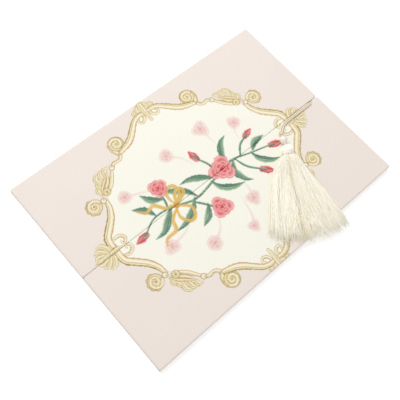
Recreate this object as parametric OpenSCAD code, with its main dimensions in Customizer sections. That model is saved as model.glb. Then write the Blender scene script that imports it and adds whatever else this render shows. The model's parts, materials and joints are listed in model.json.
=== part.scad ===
// Prayer book with a pair of cloth-covered doors that meet down the middle,
// a thin bound booklet inside, and a corded tassel hung from the right door.
// Origin: under the middle of the closed book. +X across the doors,
// +Y from foot to head, +Z up. Millimetres.

/* [Book] */
// Width of the closed book, over both spines
book_w = 148; // [110:1:180]
// Length of the book from foot to head
book_l = 210; // [150:1:260]
// Radius of the door corners, seen from above
corner_r = 1.5; // [0.8:0.1:4]
// Gap where the two doors meet
slit_w = 0.5; // [0.3:0.1:1.5]
// How far right of the middle the doors meet
slit_x = 1.5; // [-3:0.1:3]

/* [Covers] */
// Thickness of the covering cloth
cloth_t = 0.25; // [0.2:0.05:0.4]
// Thickness of the back board
back_board_t = 1.0; // [0.8:0.1:2.5]
// Thickness of each door board
door_board_t = 1.0; // [0.8:0.1:2.5]
// Thickness of the soft padding over each door board
padding_t = 0.2; // [0.1:0.1:1]
// Thickness of the card strip in each spine
spine_board_t = 1.1; // [0.8:0.1:2]
// Width of the cloth turned in over the boards
turn_in = 12; // [8:1:18]
// Thickness of the lining paper
paper_t = 0.1; // [0.1:0.05:0.3]
// How far the lining paper stops short of the cover's edge
lining_margin = 3; // [2:0.5:6]
// Room at each fold of the cover
fold_clear = 0.15; // [0.1:0.05:0.3]
// Room between the back board and each spine strip
spine_clear = 0.3; // [0.2:0.05:0.6]

/* [Booklet] */
// Number of leaves
leaf_n = 9; // [4:1:16]
// Thickness of a leaf
leaf_t = 0.08; // [0.06:0.01:0.12]
// Air between one leaf and the next
leaf_gap = 0.02; // [0.01:0.01:0.04]
// Thickness of the card wrapper
wrapper_t = 0.2; // [0.15:0.05:0.4]
// Width of the glue line that holds the leaves
glue_w = 0.3; // [0.2:0.1:0.8]
// Room between the booklet and each spine strip
booklet_side = 1.65; // [1:0.05:5]
// How far the booklet stops short of the head and the foot
booklet_square = 3; // [1:0.5:8]
// Room between the booklet and the closed doors
door_clear = 0.3; // [0.2:0.05:0.6]

/* [Tassel] */
// Diameter of each cord strand
cord_d = 1.0; // [0.8:0.1:1.05]
// Diameter of the threads at the cord's crossing
thread_d = 0.3; // [0.2:0.05:0.35]
// Room between the door and what lies on it
lay_clear = 0.3; // [0.2:0.05:0.5]
// Diameter of the knot
knot_d = 3.8; // [3:0.1:4]
// Diameter of the pearl bead
pearl_d = 5.7; // [4:0.1:6]
// Diameter of the thread core that carries the bead
core_d = 1.0; // [0.6:0.1:1.4]
// Diameter of the tassel's head
head_d = 7.2; // [5:0.1:7.3]
// Length of the tassel's head
head_l = 8; // [6:0.5:12]
// Number of turns of the binding round the neck
binding_n = 5; // [3:1:7]
// Diameter of the binding thread
binding_d = 0.5; // [0.3:0.05:0.8]
// Length of the skirt
skirt_l = 64.5; // [40:1:90]
// Angle over which the skirt spreads
skirt_spread = 56; // [20:1:70]
// Thickness of the skirt at its tips
skirt_tip_t = 1.4; // [0.8:0.1:3]

/* [Hidden] */

$fn = 48;
LEFT = -1;
RIGHT = 1;
// Room that lets one flat piece slip into another
fit = 0.02;
// Overrun of a cutting shape
over = 1;

// Heights of the layers, from the table up
z_back_turn = cloth_t + back_board_t;
z_back_lining = z_back_turn + cloth_t;
z_booklet = z_back_lining + paper_t;
z_leaves = z_booklet + wrapper_t;
z_wrapper_top = z_leaves + leaf_n * (leaf_t + leaf_gap);
z_door = z_wrapper_top + wrapper_t + door_clear;
z_door_turn = z_door + paper_t;
z_door_board = z_door_turn + cloth_t;
z_padding = z_door_board + door_board_t;
z_door_cloth = z_padding + padding_t;
book_t = z_door_cloth + cloth_t;

// Half widths and half lengths
half_w = book_w / 2;
half_l = book_l / 2;
spine_in = half_w - cloth_t - spine_board_t;
back_out = spine_in - spine_clear;
door_out = half_w - cloth_t - fold_clear;
booklet_out = spine_in - booklet_side;
booklet_end = half_l - booklet_square;

// The notch in the right door's edge that the cord comes up through,
// measured from the meeting line and down from the head
notch_in = 2.95;
notch_high = 3.3;
notch_low = 10;

// Routes of the cord's fixed tail, its two strands and the threads, from the
// meeting line, the head edge and the top of the doors
tail_routes = [
    for (x = [1.05, 2.15])
        [[x, -7.7, -0.3], [x, -6.9, -0.75], [x, -6.1, -1.05], [x, -5, -1.15], [x, -4, -1.15]]
];
inner_route = [
    [1.05, -9, 0.45], [1.05, -9.8, 0.75], [1.05, -10.6, 0.85], [1.0, -13, 0.85],
    [1.0, -15.5, 0.85], [1.0, -18, 0.85], [1.0, -20.5, 0.85], [1.0, -23, 0.85],
    [1.0, -25.5, 0.85], [1.0, -28, 0.85], [1.0, -30.5, 0.85], [1.0, -33, 0.85],
    [1.1, -35, 0.85], [1.5, -37, 0.85], [2.3, -39, 0.9], [3.4, -41, 1.1], [4.7, -42.7, 1.4]
];
outer_route = [
    [2.15, -9, 0.45], [2.15, -9.8, 0.75], [2.15, -10.6, 0.85], [2.1, -13, 0.85],
    [2.1, -15.5, 0.85], [2.1, -18, 0.85], [2.1, -20.5, 0.85], [2.1, -23, 0.85],
    [2.1, -25.5, 0.85], [2.1, -28, 0.85], [2.1, -30.5, 0.85], [2.1, -32.2, 0.85],
    [2.15, -34, 0.85], [2.45, -36, 0.85], [3.15, -38, 0.9], [4.3, -40.1, 1.1], [5.8, -42.1, 1.4]
];
tie_route = [
    [0.3, -25, 0.55], [0.35, -25, 1.1], [0.75, -25, 1.52], [1.3, -25, 1.62], [2.0, -25, 1.58],
    [2.5, -25, 1.45], [2.85, -25, 1.0], [3.1, -25, 0.6], [3.6, -25, 0.47], [5, -25, 0.47],
    [9, -25.2, 0.47], [13.5, -25.6, 0.47]
];
left_thread_route = [
    [-6, -25.4, 0.2], [-4, -25.2, 0.2], [-2, -25, 0.2], [-0.4, -25, 0.2]
];

// The knot, and the line along which bead, head and skirt follow it
knot_in = 6.2;
knot_down = 44.2;
knot_z = book_t + lay_clear + knot_d / 2;
tassel_heading = -28;
tassel_pitch = 8;
pearl_s = 5.5;
head_s = 10.4;
neck_s = head_s + head_l;
neck_d = head_d - 2 * binding_d - 0.2;
core_s = knot_d / 2 + 0.2;
core_in_head = 3;
core_clear = 0.05;
binding_wall = 0.2;
skirt_heading = -29;
collar_l = 1;

function unit(v) = v / norm(v);

// Direction of a route at point i
function along(p, i) =
    unit(p[min(i + 1, len(p) - 1)] - p[max(i - 1, 0)]);

// The ring of points round point i of a route, turned from the direction ref
function ring(p, i, r, sides, ref) =
    let (t = along(p, i), u = unit(ref - (ref * t) * t), v = cross(t, u))
    [for (k = [0 : sides - 1]) let (a = 360 * k / sides) p[i] + r * (cos(a) * u + sin(a) * v)];

// A round tube that follows a route
module tube(p, d, ref, sides = 8) {
    rings = len(p);
    last = (rings - 1) * sides;
    points = [for (i = [0 : rings - 1]) each ring(p, i, d / 2, sides, ref)];
    walls = [
        for (i = [0 : rings - 2], k = [0 : sides - 1])
            let (a = i * sides + k, b = i * sides + (k + 1) % sides)
            each [[a, a + sides, b], [b, a + sides, b + sides]]
    ];
    start = [for (k = [0 : sides - 1]) k];
    end = [for (k = [sides - 1 : -1 : 0]) last + k];
    polyhedron(points, concat(walls, [start, end]));
}

// A rectangle with round corners, its lower left corner at the origin
module round_rect(w, l, r) {
    translate([r, 0]) square([w - 2 * r, l]);
    translate([0, r]) square([w, l - 2 * r]);
    for (x = [r, w - r], y = [r, l - r]) translate([x, y]) circle(r);
}

// A plain block between two corners
module block(low, high) {
    translate(low) cube(high - low);
}

// Outline of a door, drawn in by inset all round
module door_plan(side, inset) {
    x_low = side == RIGHT ? slit_x + slit_w / 2 : -door_out;
    x_high = side == RIGHT ? door_out : slit_x - slit_w / 2;
    translate([x_low + inset, inset - half_l])
        round_rect(x_high - x_low - 2 * inset, book_l - 2 * inset, max(corner_r - inset, 0.3));
}

// A layer of a door between two heights
module door_layer(side, inset, low, high) {
    translate([0, 0, low]) linear_extrude(high - low) door_plan(side, inset);
}

// Routes and the notch are drawn from the meeting line, the head edge and the
// top of the doors
module on_doors() {
    translate([slit_x, half_l, book_t]) children();
}

// The small notch in the right door's edge that the cord comes up through
module cord_notch(side) {
    if (side == RIGHT) on_doors()
        block([0, -notch_low, -book_t], [notch_in, -notch_high, over]);
}

module back_cloth() {
    color("#ecdccf") {
        block([-half_w + fold_clear, -half_l, 0], [half_w - fold_clear, half_l, cloth_t]);
        for (s = [-1, 1]) {
            edge = s * half_l;
            wall = s * (half_l - cloth_t);
            tuck = s * (half_l - turn_in);
            block([-back_out, min(edge, wall), 0], [back_out, max(edge, wall), z_back_lining]);
            block([-back_out, min(edge, tuck), z_back_turn],
                  [back_out, max(edge, tuck), z_back_lining]);
        }
    }
}

module back_board() {
    end = half_l - cloth_t - fit;
    color("#9c968c") block([-back_out, -end, cloth_t], [back_out, end, z_back_turn]);
}

module back_lining() {
    infill_end = half_l - turn_in - fit;
    paper_end = half_l - lining_margin;
    paper_out = back_out - lining_margin;
    color("#f4eee2") {
        block([-back_out, -infill_end, z_back_turn], [back_out, infill_end, z_back_lining]);
        block([-paper_out, -paper_end, z_back_lining], [paper_out, paper_end, z_booklet]);
    }
}

module booklet_wrapper() {
    top = z_wrapper_top + wrapper_t;
    color("#f1e6cf") difference() {
        block([-booklet_out, -booklet_end, z_booklet], [booklet_out, booklet_end, top]);
        block([-booklet_out - over, -booklet_end - over, z_leaves],
              [booklet_out - wrapper_t, booklet_end + over, z_wrapper_top]);
    }
}

module booklet_leaves() {
    x_bound = booklet_out - wrapper_t - glue_w;
    color("#fbf6ea") for (i = [0 : leaf_n - 1]) {
        z = z_leaves + leaf_gap / 2 + i * (leaf_t + leaf_gap);
        block([-booklet_out, -booklet_end, z], [x_bound, booklet_end, z + leaf_t]);
    }
}

module booklet_glue() {
    x_bound = booklet_out - wrapper_t;
    color("#e6dcc0")
        block([x_bound - glue_w, -booklet_end, z_leaves], [x_bound, booklet_end, z_wrapper_top]);
}

module spine_cloth(side) {
    low = cloth_t + fold_clear;
    cap_top = z_door - fold_clear;
    color("#e6d6ca") mirror([side == LEFT ? 1 : 0, 0, 0]) {
        block([half_w - cloth_t, -half_l, low], [half_w, half_l, book_t - fold_clear]);
        for (y = [-half_l, half_l - cloth_t])
            block([spine_in, y, low], [half_w, y + cloth_t, cap_top]);
    }
}

module spine_board(side) {
    end = half_l - cloth_t - fit;
    color("#a39c91") mirror([side == LEFT ? 1 : 0, 0, 0])
        block([spine_in, -end, cloth_t + fold_clear],
              [half_w - cloth_t, end, z_door - fold_clear]);
}

module door_cloth(side) {
    color("#eee0d5") difference() {
        door_layer(side, 0, z_door_turn, book_t);
        door_layer(side, cloth_t, z_door_board, z_door_cloth);
        door_layer(side, turn_in, z_door_turn - over, z_door_board + over);
        cord_notch(side);
    }
}

module door_padding(side) {
    color("#ffffff") difference() {
        door_layer(side, cloth_t + fit, z_padding, z_door_cloth);
        cord_notch(side);
    }
}

module door_board(side) {
    color("#9c968c") difference() {
        door_layer(side, cloth_t + fit, z_door_board, z_padding);
        cord_notch(side);
    }
}

module door_lining(side) {
    color("#f4eee2") {
        door_layer(side, turn_in + fit, z_door_turn, z_door_board);
        door_layer(side, lining_margin, z_door, z_door_turn);
    }
}

module left_door_thread() {
    color("#fffdf8") on_doors() tube(left_thread_route, thread_d, [0, 1, 0]);
}

// The doubled end of the cord and the pad of glue that holds it in the notch
module cord_anchor() {
    pad_low = z_door_turn - book_t;
    color("#f6f1e6") on_doors() {
        for (route = tail_routes) tube(route, cord_d, [1, 0, 0]);
        block([tail_routes[0][0][0], -notch_high - 1.4, pad_low],
              [notch_in - fit, -notch_high, pad_low + 0.8]);
    }
}

module cord_strand(route) {
    color("#f6f1e6") on_doors() tube(route, cord_d, [1, 0, 0]);
}

module cord_tie() {
    color("#fffdf8") on_doors() tube(tie_route, thread_d, [0, 1, 0]);
}

// Where the tassel turns, at the middle of the knot
module at_knot() {
    translate([slit_x + knot_in, half_l - knot_down, knot_z]) children();
}

// The line of the bead and the head, running out along +Z of what is placed
module on_tassel_line(s) {
    at_knot() rotate([0, 90 - tassel_pitch, tassel_heading]) translate([0, 0, s]) children();
}

module tassel_knot() {
    color("#f6f1e6") at_knot() sphere(d = knot_d);
}

module tassel_core() {
    color("#f6f1e6") on_tassel_line(core_s)
        cylinder(d = core_d, h = head_s + core_in_head - core_s);
}

module tassel_pearl() {
    color("#fbf8f2") on_tassel_line(pearl_s) difference() {
        sphere(d = pearl_d);
        cylinder(d = core_d + 2 * core_clear, h = pearl_d + over, center = true);
    }
}

// Half outline of the head: a dome, a barrel and a narrow neck under the binding
module head_profile() {
    r = head_d / 2;
    bound = binding_n * binding_d + 2 * binding_wall;
    intersection() {
        translate([0, r]) circle(r);
        square([r, r]);
    }
    translate([0, r]) square([r, head_l - bound - r]);
    translate([0, head_l - bound - fit]) square([neck_d / 2, bound + fit]);
}

module tassel_head() {
    color("#f3ecd9") on_tassel_line(head_s) difference() {
        rotate_extrude() head_profile();
        translate([0, 0, -over])
            cylinder(d = core_d + 2 * core_clear, h = core_in_head + core_clear + over);
    }
}

// Turns of thread wound side by side round the neck
module tassel_binding() {
    inner = neck_d / 2 + fit;
    color("#fffaf0") on_tassel_line(neck_s - binding_n * binding_d - binding_wall)
        rotate_extrude() {
            translate([inner, 0]) square([binding_d / 2, binding_n * binding_d]);
            for (i = [0 : binding_n - 1])
                translate([inner + binding_d / 2, (i + 0.5) * binding_d])
                    circle(d = binding_d, $fn = 24);
        }
}

// The loose threads, thick where they leave the neck and spread thin at their tips
module tassel_skirt() {
    run = neck_s * cos(tassel_pitch);
    steps = 14;
    color("#efe8cd") hull() {
        on_tassel_line(neck_s + fit) cylinder(d = neck_d, h = collar_l, $fn = 32);
        translate([
            slit_x + knot_in + run * cos(tassel_heading),
            half_l - knot_down + run * sin(tassel_heading),
            book_t + lay_clear
        ]) linear_extrude(skirt_tip_t) polygon([
            for (r = [skirt_l, skirt_l - 2], k = [0 : steps])
                let (turn = (r == skirt_l ? k : steps - k) / steps - 0.5,
                     a = skirt_heading + skirt_spread * turn)
                r * [cos(a), sin(a)]
        ]);
    }
}

back_cloth();
back_board();
back_lining();
booklet_wrapper();
booklet_leaves();
booklet_glue();
spine_cloth(LEFT);  // left_spine_cloth
spine_board(LEFT);  // left_spine_board
spine_cloth(RIGHT);  // right_spine_cloth
spine_board(RIGHT);  // right_spine_board
door_cloth(LEFT);  // left_door_cloth
door_padding(LEFT);  // left_door_padding
door_board(LEFT);  // left_door_board
door_lining(LEFT);  // left_door_lining
left_door_thread();
door_cloth(RIGHT);  // right_door_cloth
door_padding(RIGHT);  // right_door_padding
door_board(RIGHT);  // right_door_board
door_lining(RIGHT);  // right_door_lining
cord_anchor();
cord_strand(inner_route);  // cord_strand_inner
cord_strand(outer_route);  // cord_strand_outer
cord_tie();
tassel_knot();
tassel_core();
tassel_pearl();
tassel_head();
tassel_binding();
tassel_skirt();
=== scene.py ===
"""A gatefold prayer book: two printed cloth doors that meet down the middle, a thin booklet
inside and a corded tassel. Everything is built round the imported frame, in metres."""

import json
import math

import bmesh
import bpy
import numpy as np
from bpy.props import FloatProperty, FloatVectorProperty, IntProperty, PointerProperty
from mathutils import Matrix, Vector


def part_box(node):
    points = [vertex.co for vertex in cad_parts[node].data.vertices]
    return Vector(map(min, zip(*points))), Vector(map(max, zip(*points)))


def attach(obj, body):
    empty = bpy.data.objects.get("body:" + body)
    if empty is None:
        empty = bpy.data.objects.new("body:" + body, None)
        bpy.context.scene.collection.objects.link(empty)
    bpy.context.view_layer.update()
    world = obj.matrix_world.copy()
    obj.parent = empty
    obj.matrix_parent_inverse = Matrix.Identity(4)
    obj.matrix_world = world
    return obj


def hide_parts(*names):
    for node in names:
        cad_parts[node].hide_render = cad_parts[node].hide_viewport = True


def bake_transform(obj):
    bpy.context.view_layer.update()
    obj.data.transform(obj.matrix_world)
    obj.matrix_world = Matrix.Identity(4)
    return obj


bl_info = {
    "name": "Gatefold prayer book",
    "version": (1, 0, 0),
    "blender": (4, 5, 0),
    "location": "3D View > Sidebar > Prayer book",
    "description": "Dresses the frame of a gatefold prayer book in cloth, print, cord and floss",
    "category": "Add Mesh",
}

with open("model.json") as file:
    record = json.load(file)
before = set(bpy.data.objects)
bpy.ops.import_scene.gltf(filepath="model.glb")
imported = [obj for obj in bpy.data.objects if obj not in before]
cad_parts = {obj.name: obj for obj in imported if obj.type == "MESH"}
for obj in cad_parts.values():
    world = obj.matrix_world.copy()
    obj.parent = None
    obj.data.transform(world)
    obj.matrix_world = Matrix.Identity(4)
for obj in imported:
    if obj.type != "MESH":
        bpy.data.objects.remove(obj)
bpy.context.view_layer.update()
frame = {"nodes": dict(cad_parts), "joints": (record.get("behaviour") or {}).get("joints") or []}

MM = 0.001
LEFT, RIGHT = -1, 1
SIDE_NAMES = {LEFT: "left", RIGHT: "right"}


def linear(hex_colour):
    """An sRGB hex colour as linear red, green, blue and alpha."""
    parts = [int(hex_colour[i : i + 2], 16) / 255 for i in (1, 3, 5)]
    return (*(c / 12.92 if c <= 0.04045 else ((c + 0.055) / 1.055) ** 2.4 for c in parts), 1.0)


def colour_property(name, description, default):
    """A colour that a user may change, given as sRGB hex."""
    return FloatVectorProperty(
        name=name, description=description, subtype="COLOR", size=4, min=0, max=1,
        default=linear(default),
    )


def length_property(name, description, default_mm, low_mm, high_mm):
    """A length that a user may change, given in millimetres."""
    return FloatProperty(
        name=name, description=description, default=default_mm * MM, min=low_mm * MM,
        max=high_mm * MM, unit="LENGTH", precision=5,
    )


# ---------------------------------------------------------------------------
# Sizes and colours that a user would change


class BookCoverSettings(bpy.types.PropertyGroup):
    """The covering cloth and what is under it."""

    cell: length_property("Cell", "Spacing of the printed cloth's points", 0.44, 0.4, 4)
    edge_radius: length_property("Edge radius", "Rounding of the padded edges", 0.7, 0.2, 0.9)
    corner_radius: length_property("Corner radius", "Rounding of a door's corners", 1.8, 0.5, 4)
    fold_radius: length_property("Fold radius", "Rounding where the cloth folds", 0.7, 0.2, 0.9)
    turn_in: length_property("Turn-in", "Width of the cloth turned in", 12, 8, 18)
    twill: length_property("Twill", "Spacing of the twill's ribs", 1.2, 0.3, 3)
    cloth: colour_property("Cloth", "Champagne pink of the cloth", "#f0e5dc")
    board: colour_property("Board", "Grey of the pressed board", "#a39c90")
    lining: colour_property("Lining", "Lining paper", "#f5f0e6")
    card: colour_property("Card", "Wrapper of the booklet", "#f3ead8")
    paper: colour_property("Paper", "Leaves of the booklet", "#fbf7ee")


class BookPrintSettings(bpy.types.PropertyGroup):
    """Colours of the print on the doors."""

    field: colour_property("Field", "Cream field inside the frame", "#f9f7ea")
    gilt_light: colour_property("Gilt light", "Lit ridge of the scrolls", "#f9f1d8")
    gilt: colour_property("Gilt", "Body of the scrolls", "#ebdcab")
    gilt_dark: colour_property("Gilt dark", "Outline of the scrolls", "#a08644")
    gilt_warm: colour_property("Gilt warm", "Pinkish shade of the outer edge", "#c79a6c")
    rose: colour_property("Rose", "Dark of the roses", "#c32a3a")
    rose_light: colour_property("Rose light", "Light of the roses", "#f0938f")
    blush: colour_property("Blush", "Faded blossoms behind", "#e2a39f")
    leaf: colour_property("Leaf", "Dark of the leaves", "#2f5a48")
    leaf_light: colour_property("Leaf light", "Light of the leaves", "#aac9a4")
    ribbon: colour_property("Ribbon", "Gold ribbon", "#cf9a38")
    ribbon_light: colour_property("Ribbon light", "Light of the ribbon", "#eecb7c")


class BookTasselSettings(bpy.types.PropertyGroup):
    """The cord, the bead and the tassel."""

    strand: length_property("Strand", "Diameter of a cord strand", 1.0, 0.5, 2)
    lay: length_property("Lay", "Length of one turn of the cord's twist", 2.4, 1, 6)
    locks: IntProperty(name="Locks", description="Locks of floss in the skirt", default=58,
                       min=10, max=120)
    floss_per_lock: IntProperty(name="Floss", description="Threads in a lock", default=11,
                                min=4, max=30)
    floss: length_property("Floss width", "Diameter of a thread of the skirt", 0.5, 0.1, 0.8)
    skirt_length: length_property("Skirt length", "Length of the longest threads", 64.5, 30, 90)
    skirt_spread: FloatProperty(name="Spread", description="Angle the skirt spreads over",
                                default=math.radians(56), min=0.2, max=1.4, subtype="ANGLE")
    yarn: colour_property("Yarn", "Off-white yarn of the cord", "#fbf1da")
    floss_light: colour_property("Floss light", "Lit threads of the skirt", "#fcf9ee")
    floss_dark: colour_property("Floss dark", "Deep threads of the skirt", "#ede5ce")
    pearl: colour_property("Pearl", "Coating of the bead", "#f6f1ea")


class BookStageSettings(bpy.types.PropertyGroup):
    """Floor, light and camera."""

    lens: FloatProperty(name="Lens", description="Focal length of the camera", default=52.59,
                        min=20, max=120, unit="CAMERA")
    sky: FloatProperty(name="Sky", description="Strength of the light from all round",
                       default=0.66, min=0, max=2)
    window: FloatProperty(name="Window", description="Power of the soft light",
                          default=4.7, min=0, max=40, unit="POWER")
    floor: colour_property("Floor", "Pale floor", "#fdfdfd")


def cover():
    """The cover's settings."""
    return bpy.context.scene.book_cover


def tassel():
    """The tassel's settings."""
    return bpy.context.scene.book_tassel


# ---------------------------------------------------------------------------
# Materials


def new_material(name, slot_roughness, **uniform):
    """A material with one Principled shader; uniform values are set on its own sockets."""
    material = bpy.data.materials.new(name)
    material.use_nodes = True
    shader = material.node_tree.nodes["Principled BSDF"]
    shader.inputs["Roughness"].default_value = slot_roughness
    for socket, value in uniform.items():
        shader.inputs[socket.replace("_", " ")].default_value = value
    return material, material.node_tree, shader


def add_node(tree, kind, values=None, links=None, **options):
    """Adds one shader node with its options, the values of its inputs and its links."""
    made = tree.nodes.new(kind)
    for option, value in options.items():
        setattr(made, option, value)
    for socket, value in (values or {}).items():
        made.inputs[socket].default_value = value
    for socket, source in (links or {}).items():
        tree.links.new(source, made.inputs[socket])
    return made


def wave_scale(period, per_unit=10):
    """Scale of a Wave texture whose bands are period metres apart along one axis.
    A diagonal wave turns 10 radians for each unit at scale 1, an axis wave 20."""
    return 2 * math.pi / (per_unit * period)


def twill_cloth(name, printed):
    """Polyester twill, woven, with a transfer print where printed: matt, with fine slanting
    ribs, a little slub along the weft and a soft bloom at grazing angles."""
    settings = cover()
    material, tree, shader = new_material(
        name, 0.82, Sheen_Weight=0.25, Sheen_Roughness=0.5, Specular_IOR_Level=0.25
    )
    place = add_node(tree, "ShaderNodeTexCoord").outputs["Object"]
    # Real ribs are about 0.4 mm apart; drawn coarser, so that they show
    ribs = add_node(
        tree, "ShaderNodeTexWave",
        {"Scale": wave_scale(settings.twill), "Distortion": 0.6, "Detail": 1.0,
         "Detail Scale": 2.0},
        {"Vector": place}, bands_direction="DIAGONAL",
    )
    stretched = add_node(
        tree, "ShaderNodeMapping", {"Scale": (300, 2600, 2600)}, {"Vector": place}
    )
    slub = add_node(
        tree, "ShaderNodeTexNoise", {"Scale": 1.0, "Detail": 3.0},
        {"Vector": stretched.outputs["Vector"]},
    )
    clouds = add_node(tree, "ShaderNodeTexNoise", {"Scale": 45.0, "Detail": 2.0},
                      {"Vector": place})
    if printed:
        dye = add_node(tree, "ShaderNodeAttribute", attribute_name="dye").outputs["Color"]
    else:
        dye = add_node(
            tree, "ShaderNodeMix",
            {"A": settings.cloth, "B": [c * 0.97 for c in settings.cloth[:3]] + [1]},
            {"Factor": clouds.outputs["Fac"]}, data_type="RGBA",
        ).outputs["Result"]
    threads = add_node(
        tree, "ShaderNodeMix", {"Factor": 0.45},
        {"A": ribs.outputs["Fac"], "B": slub.outputs["Fac"]},
    )
    tone = add_node(
        tree, "ShaderNodeMapRange", {"To Min": 0.925, "To Max": 1.045},
        {"Value": threads.outputs["Result"]},
    )
    soft = add_node(
        tree, "ShaderNodeMapRange", {"To Min": 0.985, "To Max": 1.015},
        {"Value": clouds.outputs["Fac"]},
    )
    both = add_node(
        tree, "ShaderNodeMath", None,
        {0: tone.outputs["Result"], 1: soft.outputs["Result"]}, operation="MULTIPLY",
    )
    shaded = add_node(
        tree, "ShaderNodeVectorMath", None, {0: dye}, operation="SCALE"
    )
    tree.links.new(both.outputs["Value"], shaded.inputs["Scale"])
    tree.links.new(shaded.outputs["Vector"], shader.inputs["Base Color"])
    bump = add_node(
        tree, "ShaderNodeBump", {"Strength": 0.35, "Distance": 0.05 * MM},
        {"Height": threads.outputs["Result"]},
    )
    tree.links.new(bump.outputs["Normal"], shader.inputs["Normal"])
    return material


def fibrous(name, colour, roughness, grain, contrast, relief, **uniform):
    """A pressed or felted fibre stuff: two sizes of random grain in its tone and relief."""
    material, tree, shader = new_material(name, roughness, **uniform)
    place = add_node(tree, "ShaderNodeTexCoord").outputs["Object"]
    fine = add_node(tree, "ShaderNodeTexNoise", {"Scale": 1 / grain, "Detail": 4.0},
                    {"Vector": place})
    broad = add_node(tree, "ShaderNodeTexNoise", {"Scale": 0.12 / grain, "Detail": 2.0},
                     {"Vector": place})
    mixed = add_node(tree, "ShaderNodeMix", {"Factor": 0.4},
                     {"A": fine.outputs["Fac"], "B": broad.outputs["Fac"]})
    tone = add_node(
        tree, "ShaderNodeMix",
        {"A": [c * (1 - contrast) for c in colour[:3]] + [1],
         "B": [min(1, c * (1 + contrast)) for c in colour[:3]] + [1]},
        {"Factor": mixed.outputs["Result"]}, data_type="RGBA",
    )
    tree.links.new(tone.outputs["Result"], shader.inputs["Base Color"])
    bump = add_node(tree, "ShaderNodeBump", {"Strength": 0.4, "Distance": relief},
                    {"Height": fine.outputs["Fac"]})
    tree.links.new(bump.outputs["Normal"], shader.inputs["Normal"])
    return material


def rayon_yarn(name, colour, ply, contrast):
    """Twisted rayon: fine fibres along the thread, bright and slightly silky."""
    material, tree, shader = new_material(
        name, 0.5, Sheen_Weight=0.35, Sheen_Roughness=0.35, Specular_IOR_Level=0.4
    )
    place = add_node(tree, "ShaderNodeTexCoord").outputs["Object"]
    fibres = add_node(
        tree, "ShaderNodeTexWave", {"Scale": wave_scale(ply), "Distortion": 2.0, "Detail": 2.0},
        {"Vector": place}, bands_direction="DIAGONAL",
    )
    tone = add_node(
        tree, "ShaderNodeMix",
        {"A": [c * (1 - contrast) for c in colour[:3]] + [1], "B": colour},
        {"Factor": fibres.outputs["Fac"]}, data_type="RGBA",
    )
    tree.links.new(tone.outputs["Result"], shader.inputs["Base Color"])
    bump = add_node(tree, "ShaderNodeBump", {"Strength": 0.5, "Distance": 0.06 * MM},
                    {"Height": fibres.outputs["Fac"]})
    tree.links.new(bump.outputs["Normal"], shader.inputs["Normal"])
    return material


def rayon_floss():
    """Untwisted rayon floss: each thread has its own tone, with a silky glint along it, and a faint painted
    glow in its own tone.
    """
    settings = tassel()
    # Emission Strength 0.16 is a painted glow: the floss is no lamp.
    material, tree, shader = new_material(
        "combed_rayon_floss", 0.5, Sheen_Weight=0.3, Sheen_Roughness=0.35,
        Specular_IOR_Level=0.4, Emission_Strength=0.16
    )
    shade = add_node(tree, "ShaderNodeAttribute", attribute_name="shade")
    tone = add_node(
        tree, "ShaderNodeMix", {"A": settings.floss_dark, "B": settings.floss_light},
        {"Factor": shade.outputs["Fac"]}, data_type="RGBA",
    )
    tree.links.new(tone.outputs["Result"], shader.inputs["Base Color"])
    # A painted glow: the floss gives off a little light in its own tone. It stands in for the light that
    # passes on from thread to thread in pale floss.
    tree.links.new(tone.outputs["Result"], shader.inputs["Emission Color"])
    place = add_node(tree, "ShaderNodeTexCoord").outputs["Object"]
    fuzz = add_node(tree, "ShaderNodeTexNoise", {"Scale": 4000.0, "Detail": 2.0},
                    {"Vector": place})
    bump = add_node(tree, "ShaderNodeBump", {"Strength": 0.2, "Distance": 0.05 * MM},
                    {"Height": fuzz.outputs["Fac"]})
    tree.links.new(bump.outputs["Normal"], shader.inputs["Normal"])
    return material


def pearl_coating():
    """Pearl lacquer dipped over a moulded plastic bead: a clear coat over a milky body. Its colour turns with
    the angle it is seen at:
    a faint pink and green towards its rim are a painted iridescent sheen, and the greyer rim is a painted
    shade."""
    material, tree, shader = new_material(
        "dipped_pearl_lacquer", 0.28, Coat_Weight=1.0, Coat_Roughness=0.06,
        Subsurface_Weight=0.2, Subsurface_Radius=(1, 0.9, 0.8), Subsurface_Scale=0.6 * MM
    )
    # Colour by the angle of view: the pink and green stops are a painted iridescent sheen, the grey last stop
    # a painted shade at the rim.
    rim = add_node(tree, "ShaderNodeLayerWeight", {"Blend": 0.45})
    ramp = add_node(tree, "ShaderNodeValToRGB", None, {"Fac": rim.outputs["Facing"]})
    stops = ramp.color_ramp.elements
    stops[0].position, stops[0].color = 0.0, tassel().pearl
    stops[1].position, stops[1].color = 1.0, linear("#cfc6bd")
    for position, colour in ((0.45, "#f5e6e0"), (0.75, "#e3e6dc")):
        stops.new(position).color = linear(colour)
    tree.links.new(ramp.outputs["Color"], shader.inputs["Base Color"])
    return material


MATERIALS = {}


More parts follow.
